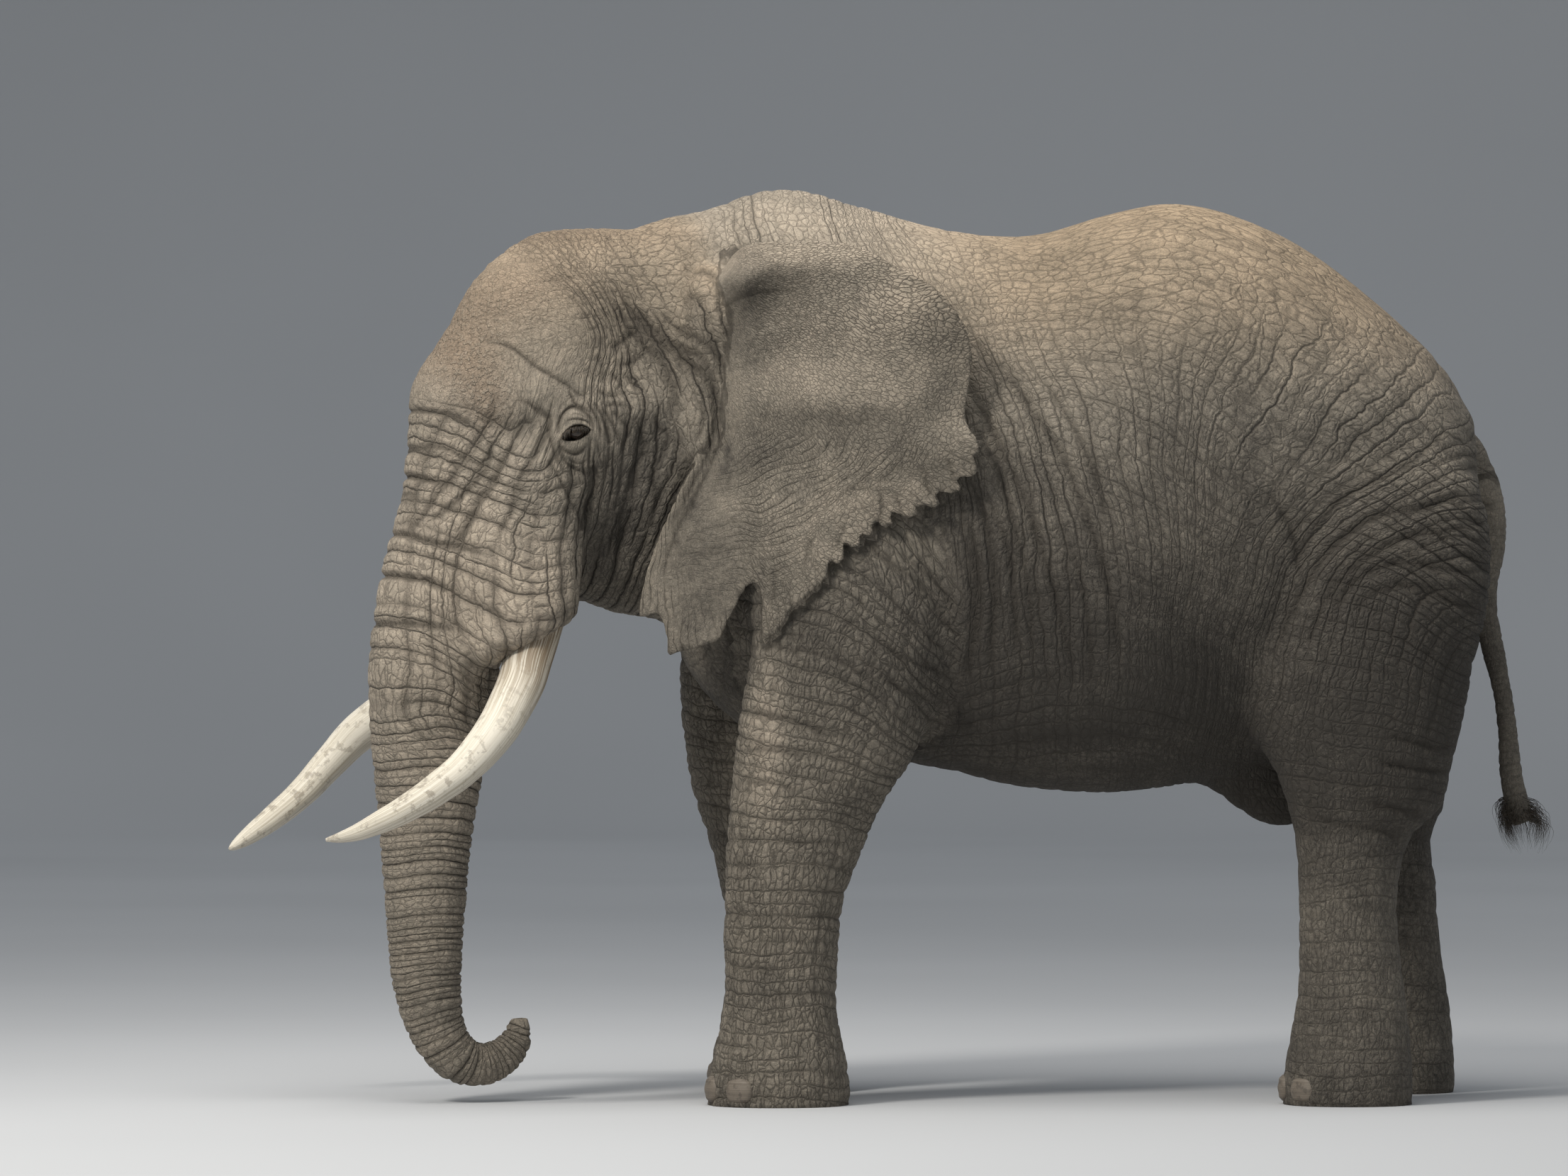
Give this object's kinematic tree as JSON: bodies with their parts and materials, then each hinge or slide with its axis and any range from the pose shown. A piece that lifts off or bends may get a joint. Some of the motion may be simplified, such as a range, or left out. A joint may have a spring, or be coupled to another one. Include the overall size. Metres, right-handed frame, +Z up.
{
  "type": "standing african bush elephant bull",
  "caption": "Life-size still model of an African bush elephant bull, standing with its head lowered and turned a little, its trunk hanging to the ground.",
  "frame": {"origin": "centre of the bounding box at floor level, between the four feet's soles", "axes": "-X the way the bull faces, +X towards its tail, -Y its left side, +Z up"},
  "size_m": [4.6336, 1.856, 3.2006],
  "materials": {
    "head": "dusty wrinkled hide",
    "lower_jaw": "dusty wrinkled hide",
    "neck": "dusty wrinkled hide",
    "trunk_upper": "ringed hide",
    "trunk_middle": "ringed hide",
    "trunk_lower": "ringed hide",
    "trunk_tip": "ringed hide",
    "shoulders": "cracked hide",
    "barrel": "cracked hide",
    "rump": "cracked hide",
    "groin_sheath": "dark hide",
    "foreleg_left": "cracked hide",
    "foreleg_right": "cracked hide",
    "hindleg_left": "cracked hide",
    "hindleg_right": "cracked hide",
    "ear_left": "thin creased hide",
    "ear_right": "thin creased hide",
    "tail": "ringed hide",
    "tail_tuft": "wiry black hair",
    "tusk_left": "smooth ivory with brown stain",
    "tusk_right": "smooth ivory with brown stain",
    "eye_left": "wet and dark",
    "eye_right": "wet and dark",
    "toenail_fore_left_1": "worn horn",
    "toenail_fore_left_2": "worn horn",
    "toenail_fore_left_3": "worn horn",
    "toenail_fore_left_4": "worn horn",
    "toenail_fore_right_1": "worn horn",
    "toenail_fore_right_2": "worn horn",
    "toenail_fore_right_3": "worn horn",
    "toenail_fore_right_4": "worn horn",
    "toenail_hind_left_1": "worn horn",
    "toenail_hind_left_2": "worn horn",
    "toenail_hind_left_3": "worn horn",
    "toenail_hind_right_1": "worn horn",
    "toenail_hind_right_2": "worn horn",
    "toenail_hind_right_3": "worn horn"
  },
  "bodies": {
    "root": {"head": "head", "lower_jaw": "lower_jaw", "neck": "neck", "trunk_upper": "trunk_upper", "trunk_middle": "trunk_middle", "trunk_lower": "trunk_lower", "trunk_tip": "trunk_tip", "shoulders": "shoulders", "barrel": "barrel", "rump": "rump", "groin_sheath": "groin_sheath", "foreleg_left": "foreleg_left", "foreleg_right": "foreleg_right", "hindleg_left": "hindleg_left", "hindleg_right": "hindleg_right", "ear_left": "ear_left", "ear_right": "ear_right", "tail": "tail", "tail_tuft": "tail_tuft", "tusk_left": "tusk_left", "tusk_right": "tusk_right", "eye_left": "eye_left", "eye_right": "eye_right", "toenail_fore_left_1": "toenail_fore_left_1", "toenail_fore_left_2": "toenail_fore_left_2", "toenail_fore_left_3": "toenail_fore_left_3", "toenail_fore_left_4": "toenail_fore_left_4", "toenail_fore_right_1": "toenail_fore_right_1", "toenail_fore_right_2": "toenail_fore_right_2", "toenail_fore_right_3": "toenail_fore_right_3", "toenail_fore_right_4": "toenail_fore_right_4", "toenail_hind_left_1": "toenail_hind_left_1", "toenail_hind_left_2": "toenail_hind_left_2", "toenail_hind_left_3": "toenail_hind_left_3", "toenail_hind_right_1": "toenail_hind_right_1", "toenail_hind_right_2": "toenail_hind_right_2", "toenail_hind_right_3": "toenail_hind_right_3"}
  },
  "joints": []
}
